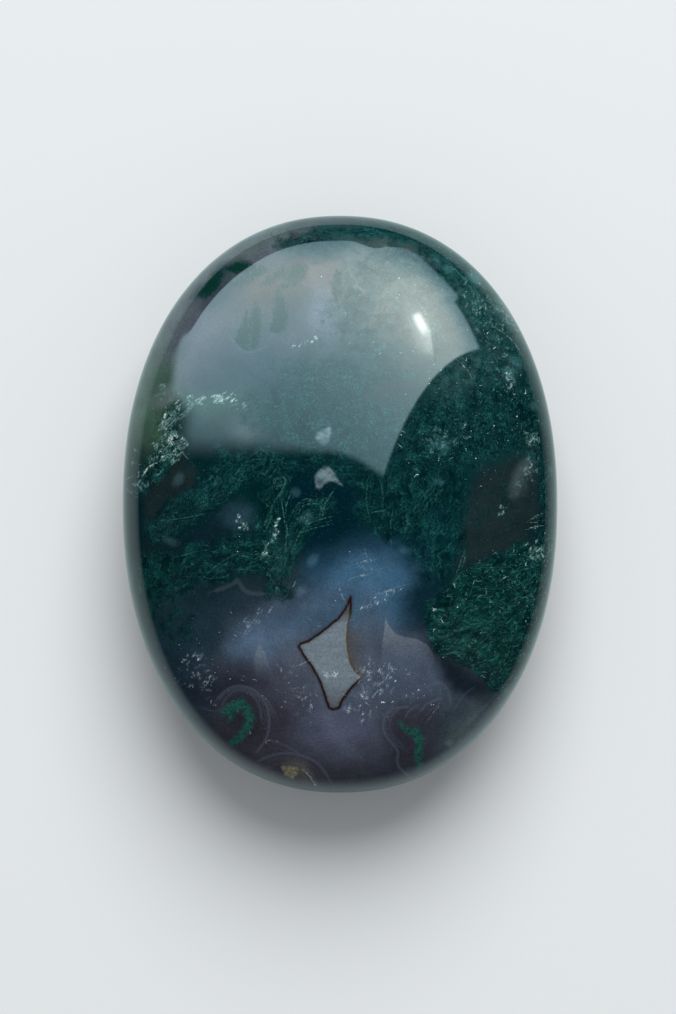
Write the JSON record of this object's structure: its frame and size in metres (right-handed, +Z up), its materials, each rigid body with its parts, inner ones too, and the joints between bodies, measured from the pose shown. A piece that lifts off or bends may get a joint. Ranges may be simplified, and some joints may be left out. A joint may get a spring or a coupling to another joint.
{
  "type": "moss agate palm stone",
  "caption": "Polished oval palm stone of moss agate, domed on both faces: green mossy plumes in blue-grey chalcedony, to hold or display.",
  "frame": {"origin": "middle of the small flat spot that the stone rests on, under the middle of the oval", "axes": "+Z up through the crown, +Y along the length towards the end that is uppermost in the picture, +X along the width"},
  "size_m": [0.0452, 0.06, 0.0204],
  "materials": {
    "polished_agate": "polished"
  },
  "bodies": {
    "root": {"palm_stone": "polished_agate"}
  },
  "joints": []
}
